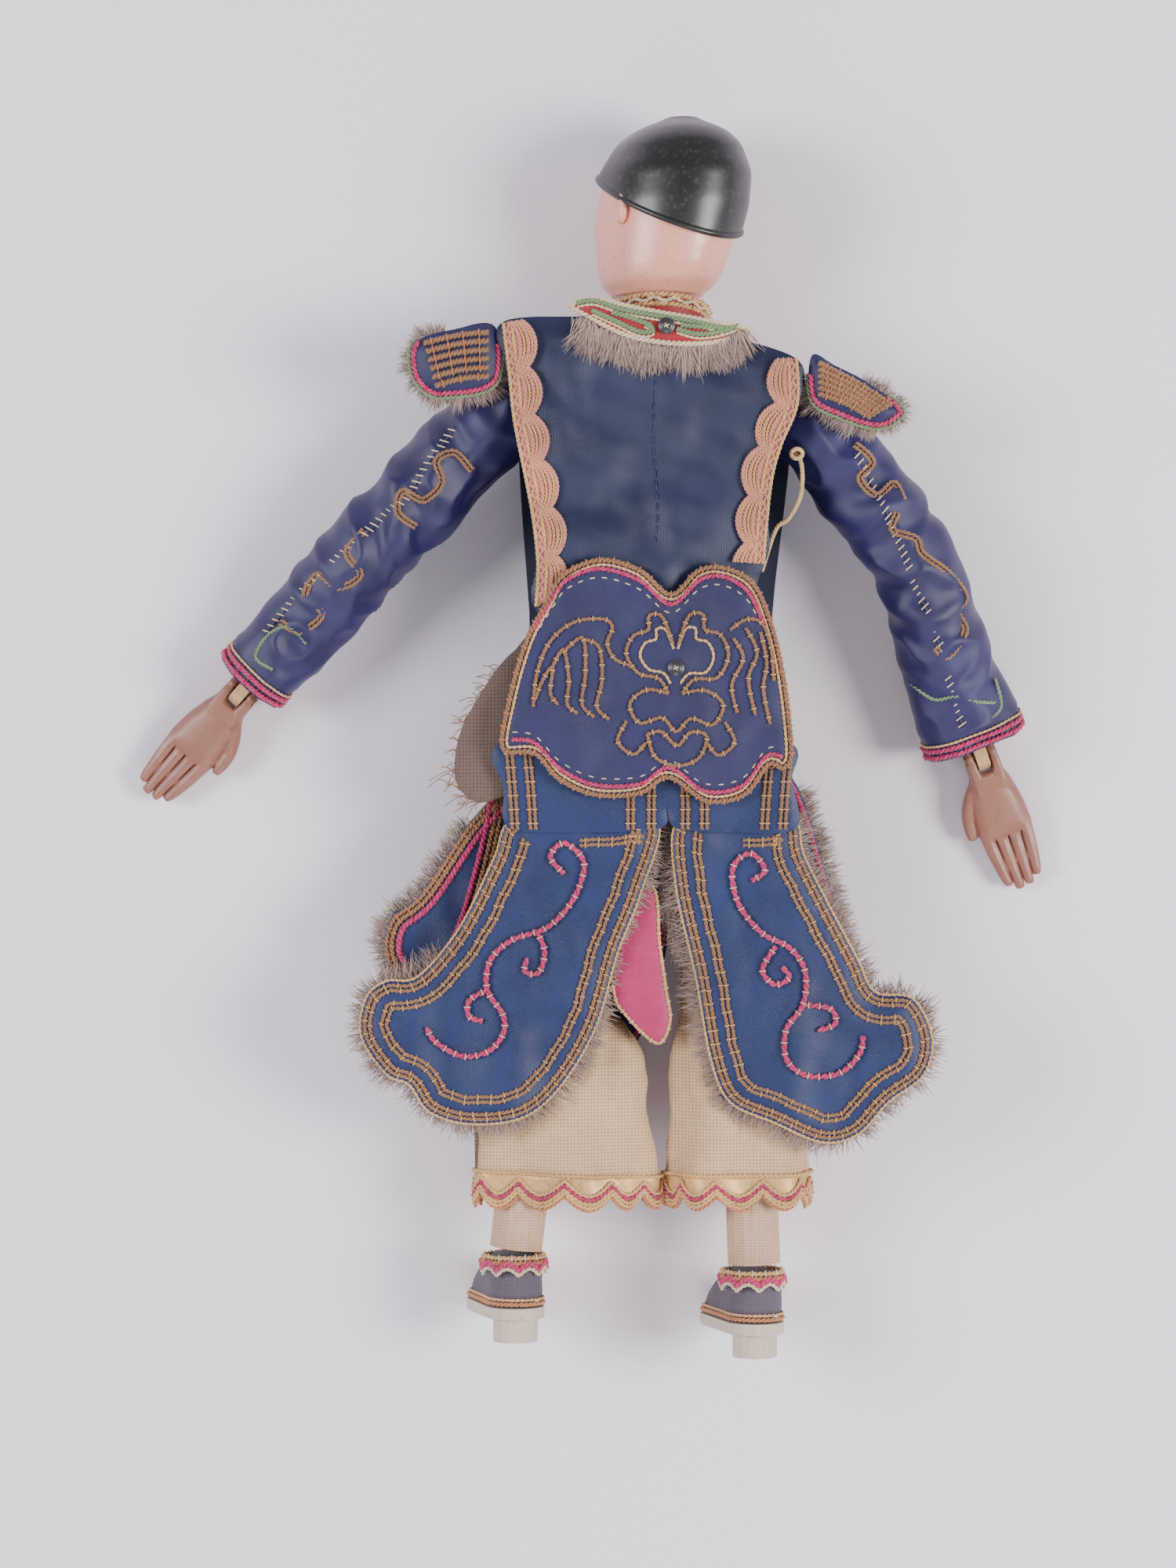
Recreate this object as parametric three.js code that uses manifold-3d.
/*
 * A dressed theatre puppet of carved wood, cloth and braid, about 29 cm tall, lying on its chest.
 *
 * Millimetres. +Z points up out of the puppet's back, +Y towards its head and +X towards its right hand.
 * The puppet's own "left" and "right" name every pair. z = 0 is the surface that it lies on.
 */
import * as THREE from 'three';
import { mergeVertices } from 'three/addons/utils/BufferGeometryUtils.js';
import Module from 'manifold-3d';

const wasm = await Module();
wasm.setup();

// ---------------------------------------------------------------- driving dimensions

const SPINE_X = 17; // the trunk's middle line
const LIMB_Z = 20; // height of the hips, knees, shoulders, elbows and neck
const GAP = 0.3; // air between pieces that touch on the real puppet

const PIVOT = { radius: 3.6, tongue: 3, fork: 8, pin: 1, neck: 7, room: 0.8 };
const ROD = { arm: 3.4, thigh: 4, shin: 6.15 };

const TRUNK = { top: 90, bottom: 12, side: 23, z: 18.6 };
const BACK = { low: 33.3, high: 36 }; // the vest's back panel, over the trunk and the sleeves
const OVER_BACK = { low: 36.3, high: 39.3 }; // what is sewn over the vest
const FRONT = { low: 0, high: 4 }; // the vest's front panel, which the puppet lies on
const FLAP = { low: 31.5, high: 34.5 };
const FRONT_FLAP = { low: 0.2, high: 3.2 };

const NECK = { x: 16.5, turn: Math.PI / 4, nodY: 106, radius: 5.2, foot: 78 };
const COLLAR = { low: 93.5, high: 101.5, outer: 12, inner: 10 };
const HEAD = { height: 38.7, lean: 5.5, slot: 9.6 };

const CAP = { slant: THREE.MathUtils.degToRad(21), rise: 17.7 };

const HIP_Y = -12.6;
const KNEE_Y = -59.9;

const ARMS = [
  {
    side: 'left',
    outward: -1,
    shoulder: [-18, 78, LIMB_Z],
    elbow: [-44, 52, LIMB_Z],
    wrist: [-82, 11, 9],
    sleeve: { top: 9.8, elbow: 9.4, cuff: 7.4 },
    pad: [
      [-22.4, 94.5], [-31, 93.5], [-39.3, 90.5], [-40, 84.5],
      [-38, 80], [-33.5, 79], [-22, 82], [-21.8, 88],
    ],
  },
  {
    side: 'right',
    outward: 1,
    shoulder: [52, 74, LIMB_Z],
    elbow: [76, 42, LIMB_Z],
    wrist: [93, -4, 9],
    sleeve: { top: 9.8, elbow: 9.4, cuff: 10.6 },
    pad: [[51.8, 85.5], [56, 85], [64, 80.5], [71, 76.5], [71.8, 73.5], [67, 72.3], [61, 74], [51.8, 78.5]],
  },
];

const LEGS = [
  {
    side: 'left', hipX: 4, kneeX: -10, ankle: [-17, -120.3],
    hemX: -5.5, hemHalf: 21, toeX: -22, heelDrop: 141,
  },
  {
    side: 'right', hipX: 32, kneeX: 36.4, ankle: [39, -123.9],
    hemX: 35.3, hemHalf: 16.6, toeX: 33.5, heelDrop: 144.6,
  },
];

const TROUSER = { depth: 9.8, wall: 1, mid: -84, end: -103.6, hem: -107 };
const FOOT = { heelZ: 22, toeZ: 6.9, radius: 6.5, upper: 12.2, sole: 2.6 };

// ---------------------------------------------------------------- colours and finishes

const finish = (color, roughness, metalness = 0) =>
  new THREE.MeshStandardMaterial({ color, roughness, metalness });
const WOOD = finish(0xb98f6a, 0.65);
const PAINTED_SKIN = finish(0xdfab9d, 0.4);
const LACQUER = finish(0x17151b, 0.25);
const SATIN = finish(0x18203a, 0.5);
const DARK_SATIN = finish(0x30304a, 0.5);
const FLAP_SATIN = finish(0x1c3f70, 0.5);
const SLEEVE_SATIN = finish(0x35355a, 0.55);
const RED_SATIN = finish(0x72060f, 0.5);
const PINK_SILK = finish(0xd35583, 0.55);
const BRAID = finish(0xb38a60, 0.7);
const LINEN = finish(0xcbad94, 0.85);
const SHOE_CLOTH = finish(0x56494d, 0.8);
const WHITEWASHED_WOOD = finish(0xc2b3a9, 0.7);
const STRAW = finish(0xb99a63, 0.8);
const BRASS_WIRE = finish(0xb08d57, 0.35, 1);

// ---------------------------------------------------------------- solids and shapes

const vec = ([x, y, z]) => new THREE.Vector3(x, y, z);

/** A closed geometry with only shared positions, and its faces pointing out. */
function closed(geometry) {
  geometry.deleteAttribute('normal');
  geometry.deleteAttribute('uv');
  const merged = mergeVertices(geometry, 1e-4);
  const at = merged.getAttribute('position');
  const index = merged.getIndex().array;
  const corner = (k) => new THREE.Vector3().fromBufferAttribute(at, index[k]);
  let volume = 0;
  for (let k = 0; k < index.length; k += 3) {
    volume += corner(k).dot(corner(k + 1).cross(corner(k + 2)));
  }
  if (volume < 0) {
    for (let k = 0; k < index.length; k += 3) [index[k], index[k + 1]] = [index[k + 1], index[k]];
  }
  return merged;
}

function solid(geometry) {
  const whole = closed(geometry);
  return new wasm.Manifold(new wasm.Mesh({
    numProp: 3,
    vertProperties: new Float32Array(whole.getAttribute('position').array),
    triVerts: new Uint32Array(whole.getIndex().array),
  }));
}

function geometryOf(manifold) {
  const mesh = manifold.getMesh();
  const geometry = new THREE.BufferGeometry();
  geometry.setAttribute('position', new THREE.BufferAttribute(new Float32Array(mesh.vertProperties), 3));
  geometry.setIndex(new THREE.BufferAttribute(new Uint32Array(mesh.triVerts), 1));
  return geometry;
}

const joined = (...parts) => parts.reduce((all, part) => all.add(part));
const without = (part, ...tools) => tools.reduce((left, tool) => left.subtract(tool), part);

/** A closed skin through rings of equally many points, capped at both ends. */
function loft(rings) {
  const sides = rings[0].length;
  const faces = [];
  for (let r = 0; r + 1 < rings.length; r += 1) {
    for (let s = 0; s < sides; s += 1) {
      const a = r * sides + s;
      const b = r * sides + ((s + 1) % sides);
      faces.push(a, b, a + sides, b, b + sides, a + sides);
    }
  }
  const last = (rings.length - 1) * sides;
  for (let s = 1; s + 1 < sides; s += 1) {
    faces.push(0, s + 1, s, last, last + s, last + s + 1);
  }
  const geometry = new THREE.BufferGeometry();
  const positions = rings.flat().flatMap((p) => [p.x, p.y, p.z]);
  geometry.setAttribute('position', new THREE.Float32BufferAttribute(positions, 3));
  geometry.setIndex(faces);
  return geometry;
}

/** One ring round a centre: an ellipse at power 2, squarer above it. */
function ring(centre, across, up, [halfWidth, halfDepth], sides, power) {
  return Array.from({ length: sides }, (_, k) => {
    const turn = (2 * Math.PI * k) / sides;
    const bend = (value) => Math.sign(value) * Math.abs(value) ** (2 / power);
    return centre.clone()
      .addScaledVector(across, halfWidth * bend(Math.cos(turn)))
      .addScaledVector(up, halfDepth * bend(Math.sin(turn)));
  });
}

/** A limb-like loft through stations [[x, y, z], [halfWidth, halfDepth]]. */
function limb(stations, { sides = 16, power = 2 } = {}) {
  const places = stations.map(([at]) => vec(at));
  const rings = stations.map(([, half], k) => {
    const along = places[Math.min(k + 1, places.length - 1)].clone()
      .sub(places[Math.max(k - 1, 0)]).normalize();
    const across = along.clone().cross(new THREE.Vector3(0, 0, 1)).normalize();
    const up = across.clone().cross(along);
    return ring(places[k], across, up, half, sides, power);
  });
  return loft(rings);
}

/** An open cloth tube: the limb through the stations, less the same limb one wall thinner. */
function clothTube(stations, wall, options) {
  const inner = stations.map(([at, half]) => [at, half.map((size) => size - wall)]);
  const first = vec(inner[0][0]);
  const last = vec(inner[inner.length - 1][0]);
  const before = first.clone().sub(vec(inner[1][0])).normalize().add(first);
  const after = last.clone().sub(vec(inner[inner.length - 2][0])).normalize().add(last);
  const bore = [[before.toArray(), inner[0][1]], ...inner, [after.toArray(), inner[inner.length - 1][1]]];
  return without(solid(limb(stations, options)), solid(limb(bore, options)));
}

/** A flat piece of cloth: a smooth closed outline, hand-placed, between two heights. */
function panel(outline, low, high, steps = 36) {
  const corners = outline.map(([x, y]) => new THREE.Vector3(x, y, 0));
  const edge = new THREE.CatmullRomCurve3(corners, true, 'centripetal').getPoints(steps).slice(0, -1);
  const shape = new THREE.Shape(edge.map((p) => new THREE.Vector2(p.x, p.y)));
  return new THREE.ExtrudeGeometry(shape, { depth: high - low, bevelEnabled: false }).translate(0, 0, low);
}

/** A frame at a pivot: X runs along the pin, and Y along the limb, square to the pin. */
function pivotFrame(at, along, pinAxis) {
  const x = pinAxis.clone().normalize();
  const z = x.clone().cross(along).normalize();
  const y = z.clone().cross(x);
  return new THREE.Matrix4().makeBasis(x, y, z).setPosition(at);
}

const roundBar = (radius, length, segments = 12) =>
  new THREE.CylinderGeometry(radius, radius, length, segments).rotateZ(Math.PI / 2);

const pinHole = (frame) =>
  solid(roundBar(PIVOT.pin + GAP, PIVOT.fork + 2, 12).applyMatrix4(frame));

/** The rounded tongue at a limb's far end; the limb comes from -Y. */
function tongue(frame) {
  const plate = new THREE.BoxGeometry(PIVOT.tongue, PIVOT.neck, 2 * PIVOT.radius)
    .translate(0, -PIVOT.neck / 2, 0);
  return joined(
    solid(plate.applyMatrix4(frame)),
    solid(roundBar(PIVOT.radius, PIVOT.tongue).applyMatrix4(frame)),
  );
}

/** The slotted fork at a limb's near end; the limb goes on towards +Y. */
function fork(frame, reach = 9) {
  const block = new THREE.BoxGeometry(PIVOT.fork, reach, 2 * PIVOT.radius).translate(0, reach / 2, 0);
  const slotLength = 2 * (PIVOT.radius + PIVOT.room);
  const slot = new THREE.BoxGeometry(PIVOT.tongue + 2 * GAP, slotLength, 2 * PIVOT.radius + 2);
  const ears = joined(
    solid(block.applyMatrix4(frame)),
    solid(roundBar(PIVOT.radius, PIVOT.fork).applyMatrix4(frame)),
  );
  return without(ears, solid(slot.applyMatrix4(frame)), pinHole(frame));
}

const pin = (frame) => roundBar(PIVOT.pin, PIVOT.fork, 12).applyMatrix4(frame);

/** A straight turned rod from one place to another. */
function rod(from, to, radius) {
  return solid(limb([[from.toArray(), [radius, radius]], [to.toArray(), [radius, radius]]]));
}

const beyond = (at, along, distance) => at.clone().addScaledVector(along, distance);

// ---------------------------------------------------------------- the scene graph

const puppet = new THREE.Group();

function add(name, shape, material, parent = puppet) {
  const geometry = shape instanceof THREE.BufferGeometry ? closed(shape) : geometryOf(shape);
  const mesh = new THREE.Mesh(geometry, material);
  mesh.name = name;
  parent.add(mesh);
  return mesh;
}

// ---------------------------------------------------------------- trunk

function buildTrunk() {
  const block = solid(limb([
    [[SPINE_X, TRUNK.top, TRUNK.z], [17, 11]],
    [[SPINE_X, 80, TRUNK.z], [TRUNK.side, 13.2]],
    [[SPINE_X, 45, TRUNK.z], [19.5, 11.5]],
    [[SPINE_X, TRUNK.bottom, TRUNK.z], [21, 12]],
  ], { sides: 20, power: 3.4 }));
  const neckBore = new THREE.CylinderGeometry(NECK.radius + GAP, NECK.radius + GAP, 30, 20)
    .translate(NECK.x, NECK.foot - GAP + 15, LIMB_Z);
  const armBores = ARMS.map(({ shoulder, outward }) =>
    solid(roundBar(ROD.arm - 0.9 + GAP, 14).translate(shoulder[0] + outward * -14, shoulder[1], LIMB_Z)));
  add('torso_block', without(block, solid(neckBore), ...armBores), WOOD);

  const pelvis = solid(limb([
    [[18, TRUNK.bottom - GAP, TRUNK.z], [21, 11.5]],
    [[18, 4, TRUNK.z], [22.5, 10.5]],
    [[18, HIP_Y + TROUSER.depth + 1.2, TRUNK.z], [22, 8.5]],
  ], { sides: 20, power: 3.4 }));
  const down = new THREE.Vector3(0, -1, 0);
  const across = new THREE.Vector3(1, 0, 0);
  const hips = LEGS.map(({ hipX }) => pivotFrame(vec([hipX, HIP_Y, LIMB_Z]), down, across));
  const lugs = hips.map((frame) => {
    const reach = new THREE.BoxGeometry(PIVOT.tongue, 12, 2 * PIVOT.radius).translate(0, -8, 0);
    return joined(tongue(frame), solid(reach.applyMatrix4(frame)));
  });
  const rodHoles = hips.map(pinHole);
  add('hip_block', without(joined(pelvis, ...lugs), ...rodHoles), WOOD);

  add('vest_back', panel([
    [-20, 95], [-19, 85], [-16, 63], [-12.5, 42], [-12.5, 30], [-12, 20], [14, 18], [41, 20], [41.5, 32],
    [41.5, 48], [45, 67], [49.6, 82], [48.5, 88], [36, 94], [16, 96.5], [-4, 97.5],
  ], BACK.low, BACK.high), SATIN);
  add('vest_front', panel([
    [-4, 90], [-6.5, 76], [-4.5, 50], [-5, 18], [17, 14], [39, 18], [39, 50], [41, 74], [38, 90], [17, 92],
  ], FRONT.low, FRONT.high, 28), SATIN);
  add('vest_braid_left', panel([
    [-19.6, 94.5], [-18.4, 84], [-15.6, 63], [-12, 46], [-9.5, 45],
    [-11, 60], [-12.5, 73], [-14, 84.6], [-16, 94],
  ], OVER_BACK.low, OVER_BACK.low + 1.2), BRAID);
  add('vest_braid_right', panel([
    [49, 82.5], [47.5, 87.5], [44.5, 85], [44, 77], [41, 66],
    [39.5, 56], [38.5, 46], [41, 45], [42, 54], [44.8, 67],
  ], OVER_BACK.low, OVER_BACK.low + 1.2), BRAID);
  add('waist_panel', panel([
    [-15, 23], [-12, 34], [-6, 42], [5, 44.6], [15.5, 40], [21, 41], [29, 42.5], [38.5, 40.5], [41, 34],
    [44, 18], [44.6, 4], [46, -10], [39, -16], [30.5, -19], [18.4, -14.3], [2, -18.2], [-11, -13],
    [-21, -4.5], [-18.5, 3],
  ], OVER_BACK.low, OVER_BACK.high, 44), DARK_SATIN);
}

function buildCollar() {
  const { low, high, outer, inner } = COLLAR;
  const profile = [[inner, low], [outer, low], [outer - 0.8, high], [inner, high], [inner, low]];
  const band = new THREE.LatheGeometry(profile.map(([r, y]) => new THREE.Vector2(r, y)), 24);
  add('collar_band', band.translate(NECK.x, 0, LIMB_Z), RED_SATIN);
  add('cloud_collar', panel([
    [-4.5, 98.6], [4, 94], [12, 90.6], [20.5, 89.6], [31, 90.4],
    [37.2, 94.4], [28, 97.6], [17, 99.4], [5, 100],
  ], OVER_BACK.low + 1.6, OVER_BACK.high + 0.2), RED_SATIN);
}

/** The straw tie that shows in the armpit, a thin cord that lies on the sleeve. */
function buildTie() {
  const route = new THREE.CatmullRomCurve3([
    [47.5, 66.5], [49.4, 63], [49.2, 56], [46.4, 50.6], [43.4, 48], [40.2, 38.4],
  ].map(([x, y]) => new THREE.Vector3(x, y, 32.2)));
  const section = new THREE.Shape();
  section.absarc(0, 0, 0.55, 0, 2 * Math.PI);
  add('tie_cord', new THREE.ExtrudeGeometry(section, {
    steps: 16, curveSegments: 4, bevelEnabled: false, extrudePath: route,
  }), STRAW);
}

// ---------------------------------------------------------------- neck and head

function buildHead() {
  const neck = new THREE.Group();
  neck.position.set(NECK.x, NECK.nodY, LIMB_Z);
  neck.rotation.y = NECK.turn;
  puppet.add(neck);

  const up = new THREE.Vector3(0, 1, 0);
  const nod = pivotFrame(new THREE.Vector3(), up, new THREE.Vector3(1, 0, 0));
  const foot = NECK.foot - NECK.nodY;
  const shaftTop = -PIVOT.radius - PIVOT.room;
  const peg = solid(new THREE.CylinderGeometry(NECK.radius, NECK.radius, shaftTop - foot, 20)
    .translate(0, (shaftTop + foot) / 2, 0));
  add('neck_peg', without(joined(peg, tongue(nod)), pinHole(nod)), WOOD, neck);
  add('nod_pin', pin(nod), BRASS_WIRE, neck);

  const skull = (grow) => {
    const stations = [
      [0, 8.5, 10], [3, 12.2, 14.6], [9, 14.2, 17], [18, 15.4, 18.4], [26, 14.9, 17.8], [33, 11.8, 14],
      [36.8, 7.6, 9], [HEAD.height - 0.3, 3, 3.4],
    ];
    const shift = (y) => (HEAD.lean * y) / HEAD.height * Math.SQRT1_2;
    return loft(stations.map(([y, halfWidth, halfDepth]) => ring(
      new THREE.Vector3(shift(y), y + (y > 30 ? grow * 0.7 : 0), shift(y)),
      new THREE.Vector3(1, 0, 0), new THREE.Vector3(0, 0, 1), [halfWidth + grow, halfDepth + grow], 24, 2,
    )));
  };
  const slot = new THREE.BoxGeometry(PIVOT.tongue + 2 * GAP, 2 * (PIVOT.radius + PIVOT.room), HEAD.slot);
  add('head_block', without(solid(skull(0)), solid(slot), pinHole(nod)), PAINTED_SKIN, neck);

  // the cap sits low at the nape and high over the brow
  const coverage = new THREE.BoxGeometry(60, 40, 60).translate(0, 20, 0)
    .rotateX(CAP.slant).translate(0, CAP.rise, 0);
  const shell = without(solid(skull(1.3)), solid(skull(GAP)));
  add('skull_cap', shell.intersect(solid(coverage)), LACQUER, neck);
}

// ---------------------------------------------------------------- arms

/** A carved hand: palm, four straight fingers side by side and a thumb, reaching along +Y. */
function handSolid(outward) {
  const flat = (stations, sides = 8) => solid(limb(stations, { sides, power: 2.6 }));
  const palm = flat([
    [[0, 4, 0], [4.2, 3.2]], [[0, 9, 0], [6, 3.6]], [[0, 17, 0.2], [7, 3.4]], [[0, 20, 0], [6.6, 2.6]],
  ], 12);
  const fingers = [0, 1, 2, 3].map((k) => {
    const x = (k - 1.5) * 3.3;
    const length = 35 - Math.abs(k - 1.4) * 1.6;
    return flat([
      [[x, 17, 0], [1.75, 2.1]], [[x * 0.86, 27, -0.6], [1.6, 1.9]], [[x * 0.72, length, -1.8], [1.1, 1.3]],
    ]);
  });
  const thumb = flat([
    [[outward * -4, 7, 0], [1.9, 2.2]], [[outward * -7.6, 13, 0.6], [1.9, 2]],
    [[outward * -8.4, 20, 0.4], [1.2, 1.3]],
  ]);
  return joined(palm, ...fingers, thumb);
}

function buildArm({ side, outward, shoulder, elbow, wrist, sleeve, pad }) {
  const from = vec(shoulder);
  const bend = vec(elbow);
  const end = vec(wrist);
  const upper = bend.clone().sub(from).normalize();
  const lower = end.clone().sub(bend).normalize();
  const out = new THREE.Vector3(outward, 0, 0);
  const flexAxis = new THREE.Vector3(-lower.y, lower.x, 0).normalize();
  const clear = PIVOT.radius + PIVOT.room;

  // the knuckle turns in the trunk; the arm lifts on the pin that stands in the knuckle
  const upright = new THREE.Vector3(0, 0, 1);
  const inTrunk = pivotFrame(from, out, upright);
  const knuckleBar = rod(beyond(from, out, -19), beyond(from, out, -clear), ROD.arm - 0.9);
  add(`shoulder_knuckle_${side}`, without(joined(tongue(inTrunk), knuckleBar), pinHole(inTrunk)), WOOD);
  add(`shoulder_pin_${side}`, pin(inTrunk), BRASS_WIRE);

  const onArm = pivotFrame(from, upper, upright);
  const atElbow = pivotFrame(bend, upper, flexAxis);
  const upperRod = rod(beyond(from, upper, 8), beyond(bend, upper, -clear - 1.2), ROD.arm);
  add(`upper_arm_${side}`, without(joined(fork(onArm), upperRod, tongue(atElbow)), pinHole(atElbow)), WOOD);
  add(`elbow_pin_${side}`, pin(atElbow), BRASS_WIRE);

  const ofForearm = pivotFrame(bend, lower, flexAxis);
  const atWrist = pivotFrame(end, lower, flexAxis);
  const lowerRod = rod(beyond(bend, lower, 8), beyond(end, lower, -clear), ROD.arm);
  const forearm = joined(fork(ofForearm), lowerRod, tongue(atWrist));
  add(`forearm_${side}`, without(forearm, pinHole(atWrist)), WOOD);

  const depth = 9;
  add(`upper_sleeve_${side}`, clothTube([
    [from.toArray(), [sleeve.top, depth]],
    [beyond(bend, upper, -8.6).toArray(), [sleeve.elbow, depth]],
  ], 1), SLEEVE_SATIN);
  const cuffDepth = 7;
  const cuffAt = beyond(end, lower, -3);
  const pipingFrom = beyond(end, lower, -3 + GAP);
  const pipingTo = beyond(end, lower, -0.8);
  add(`lower_sleeve_${side}`, clothTube([
    [beyond(bend, lower, 1.4).toArray(), [sleeve.elbow, depth]],
    [beyond(bend, lower, 24).toArray(), [(sleeve.elbow + sleeve.cuff) / 2, 8]],
    [cuffAt.toArray(), [sleeve.cuff, cuffDepth]],
  ], 1), SLEEVE_SATIN);
  add(`cuff_piping_${side}`, clothTube([
    [pipingFrom.toArray(), [sleeve.cuff + 0.4, cuffDepth + 0.4]],
    [pipingTo.toArray(), [sleeve.cuff + 0.4, cuffDepth + 0.4]],
  ], 1.4), PINK_SILK);

  const palm = new THREE.Group();
  palm.applyMatrix4(pivotFrame(end, lower, flexAxis));
  puppet.add(palm);
  const still = new THREE.Matrix4();
  add(`hand_${side}`, joined(fork(still, 8), handSolid(outward)), WOOD, palm);
  add(`wrist_pin_${side}`, pin(still), BRASS_WIRE, palm);

  add(`shoulder_pad_${side}`, panel(pad, BACK.low, BACK.high, 24), DARK_SATIN);
}

// ---------------------------------------------------------------- legs

/** The print of a foot in its own plane: two round ends joined by their tangents, grown by a margin. */
function footprint({ ankle, toeX }, margin) {
  const heel = new THREE.Vector2(ankle[0], FOOT.heelZ);
  const toe = new THREE.Vector2(toeX, FOOT.toeZ);
  const run = Math.atan2(toe.y - heel.y, toe.x - heel.x);
  const radius = FOOT.radius + margin;
  const half = (centre, middle) => Array.from({ length: 9 }, (_, k) => {
    const turn = middle + Math.PI * (k / 8 - 0.5);
    return new THREE.Vector2(centre.x + radius * Math.cos(turn), centre.y + radius * Math.sin(turn));
  });
  return [...half(toe, run), ...half(heel, run + Math.PI)];
}

function buildLeg(leg) {
  const { side, hipX, kneeX, ankle, hemX, hemHalf, heelDrop } = leg;
  const hip = vec([hipX, HIP_Y, LIMB_Z]);
  const knee = vec([kneeX, KNEE_Y, LIMB_Z]);
  const foot = vec([ankle[0], ankle[1], LIMB_Z]);
  const thigh = knee.clone().sub(hip).normalize();
  const shin = foot.clone().sub(knee).normalize();
  const down = new THREE.Vector3(0, -1, 0);
  const acrossHip = new THREE.Vector3(1, 0, 0);
  const clear = PIVOT.radius + PIVOT.room;

  const atHip = pivotFrame(hip, down, acrossHip);
  const aboveKnee = pivotFrame(knee, down, acrossHip);
  const thighRod = rod(beyond(hip, thigh, 8), beyond(knee, thigh, -clear - 1.2), ROD.thigh);
  add(`thigh_${side}`, without(joined(fork(atHip), thighRod, tongue(aboveKnee)), pinHole(aboveKnee)), WOOD);
  add(`hip_pin_${side}`, pin(atHip), BRASS_WIRE);
  add(`knee_pin_${side}`, pin(aboveKnee), BRASS_WIRE);

  const shinRod = rod(beyond(knee, shin, 8), beyond(foot, shin, -0.8), ROD.shin);
  add(`shin_${side}`, joined(fork(aboveKnee), shinRod), WOOD);

  add(`trouser_upper_${side}`, clothTube([
    [hip.toArray(), [12, TROUSER.depth]],
    [beyond(knee, thigh, -9.4).toArray(), [12.2, TROUSER.depth]],
  ], TROUSER.wall), LINEN);
  const half = (12.5 + hemHalf) / 2;
  const flare = [[hemX, TROUSER.end, LIMB_Z - 0.5], [hemHalf, 9]];
  add(`trouser_lower_${side}`, clothTube([
    [knee.toArray(), [12.5, TROUSER.depth]],
    [[(kneeX + hemX) / 2, TROUSER.mid, LIMB_Z], [half + 2, TROUSER.depth]],
    [[hemX, TROUSER.end + 2, flare[0][2]], flare[1]],
    flare,
  ], TROUSER.wall, { sides: 20, power: 2.6 }), LINEN);
  add(`trouser_hem_${side}`, clothTube([
    [[hemX, TROUSER.end - GAP, flare[0][2]], flare[1].map((size) => size + 0.4)],
    [[hemX, TROUSER.hem, flare[0][2]], flare[1].map((size) => size + 0.4)],
  ], 1.4, { sides: 20, power: 2.6 }), BRAID);

  buildShoe(leg, foot, heelDrop);
}

function buildShoe(leg, foot, heelDrop) {
  const level = (points, y) => points.map((p) => new THREE.Vector3(p.x, y, p.y));
  const print = footprint(leg, 0);
  const top = foot.y - GAP;
  const seam = foot.y - FOOT.upper;
  const collar = print.map((p) => {
    const away = p.clone().sub(new THREE.Vector2(foot.x, foot.z));
    return away.setLength(Math.min(away.length(), 8)).add(new THREE.Vector2(foot.x, foot.z));
  });
  const instep = print.map((p, k) => p.clone().lerp(collar[k], 0.25));
  add(`shoe_upper_${leg.side}`, loft([
    level(collar, top), level(instep, (top + seam) / 2), level(print, seam),
  ]), SHOE_CLOTH);

  const rim = footprint(leg, 0.35);
  const soleLow = seam - GAP - FOOT.sole;
  const sole = solid(loft([level(rim, seam - GAP), level(rim, soleLow)]));
  const heelFoot = new THREE.CylinderGeometry(5.2, 5.2, 1 + soleLow + heelDrop, 20)
    .translate(leg.ankle[0], (1 + soleLow - heelDrop) / 2, FOOT.heelZ);
  add(`shoe_sole_${leg.side}`, joined(sole, solid(heelFoot)), WHITEWASHED_WOOD);
}

// ---------------------------------------------------------------- skirt

function buildSkirt() {
  add('back_flap_left', panel([
    [-17.5, -20.2], [-25, -33], [-32, -46], [-39, -55], [-46, -56], [-51, -60], [-52, -69], [-46, -77.6],
    [-41, -80], [-37, -86], [-28, -89], [-15, -87.4], [-6, -80],
    [2, -67], [7, -50], [12.5, -36], [16.3, -20.2],
  ], FLAP.low, FLAP.high), FLAP_SATIN);
  add('back_flap_right', panel([
    [20.5, -20.2], [20, -34], [25, -55], [28.5, -74], [33, -84], [43, -88.6], [54, -93.2], [62, -91.6],
    [69, -84], [77, -78], [79, -69], [74.5, -60.6], [66, -59.2],
    [62, -51], [56, -39], [49.5, -27], [47.5, -20.2],
  ], FLAP.low, FLAP.high), FLAP_SATIN);
  add('side_flap_left', panel([
    [-20.6, -20.2], [-28, -20.2], [-38.5, -36], [-45.5, -42],
    [-47.3, -50], [-44, -56], [-37, -57], [-28, -46],
  ], 23, 26, 24), FLAP_SATIN);
  add('front_flap_left', panel([
    [-17, -6], [-27, -35], [-30, -60], [-26, -78], [-10, -86],
    [8, -78], [17, -58], [20, -38], [20.6, -22], [20.6, -6],
  ], FRONT_FLAP.low, FRONT_FLAP.high, 40), FLAP_SATIN);
  add('front_flap_right', panel([
    [23.6, -6], [23.4, -22], [23.6, -38], [25.5, -56], [32, -76],
    [44, -86], [57, -78], [62, -58], [57, -32], [46, -6],
  ], FRONT_FLAP.low, FRONT_FLAP.high, 30), FLAP_SATIN);
  add('silk_tab', panel([
    [2, -34], [14, -34], [16, -48], [17.6, -59], [14.6, -69], [6.6, -60],
  ], FLAP.low - GAP - 1.1, FLAP.low - GAP, 20), PINK_SILK);
}

buildTrunk();
buildCollar();
buildTie();
buildHead();
ARMS.forEach(buildArm);
LEGS.forEach(buildLeg);
buildSkirt();

export default puppet;
